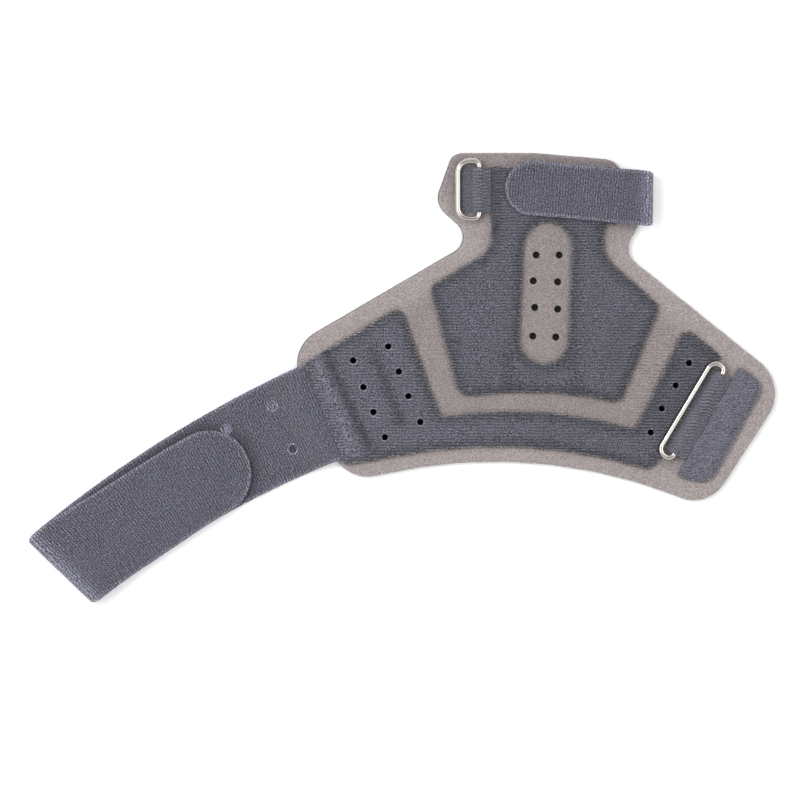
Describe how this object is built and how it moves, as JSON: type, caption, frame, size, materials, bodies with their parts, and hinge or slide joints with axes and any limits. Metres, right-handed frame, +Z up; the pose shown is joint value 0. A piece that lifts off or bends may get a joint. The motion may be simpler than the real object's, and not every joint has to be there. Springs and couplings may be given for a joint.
{
  "type": "thumb spica splint",
  "caption": "Soft thumb and wrist splint opened out flat: suede-faced foam pad with raised knit panels, wire rings in sewn sleeves and folded hook-and-loop straps.",
  "frame": {"origin": "under the middle of the whole splint's box, on the surface that it lies on", "axes": "+Z up out of the laid-out splint, +Y from the wrist band to the thumb end, +X towards the end with the wrist ring; the wrist strap reaches towards -X"},
  "size_m": [0.3228, 0.197, 0.0107],
  "materials": {
    "pad_suede": "taupe micro-suede over thin foam, matte and finely flecked",
    "panel_knit": "slate brushed loop knit with fine ribs, matte",
    "strap_knit": "slate hook-and-loop strap with fine cross ribs and a fuzzy edge",
    "ring_nickel": "bright polished nickel plate on round wire"
  },
  "bodies": {
    "splint": {"base_pad": "pad_suede", "thumb_panel": "panel_knit", "wrist_band": "panel_knit", "end_patch": "panel_knit", "wrist_strap": "strap_knit", "thumb_strap": "strap_knit", "wrist_ring_sleeve": "panel_knit", "thumb_ring_sleeve": "panel_knit"},
    "wrist_loop": {"wrist_ring": "ring_nickel"},
    "thumb_loop": {"thumb_ring": "ring_nickel"}
  },
  "joints": [
    {"name": "wrist_ring_swing", "type": "hinge", "parent": "splint", "child": "wrist_loop", "pos_m": [0.12797, -0.01486, 0.00585], "axis": [0.5132, 0.8582, 0], "range_deg": [0, 160]},
    {"name": "thumb_ring_swing", "type": "hinge", "parent": "splint", "child": "thumb_loop", "pos_m": [0.03288, 0.08246, 0.00585], "axis": [0, 1, 0], "range_deg": [0, 145]}
  ]
}
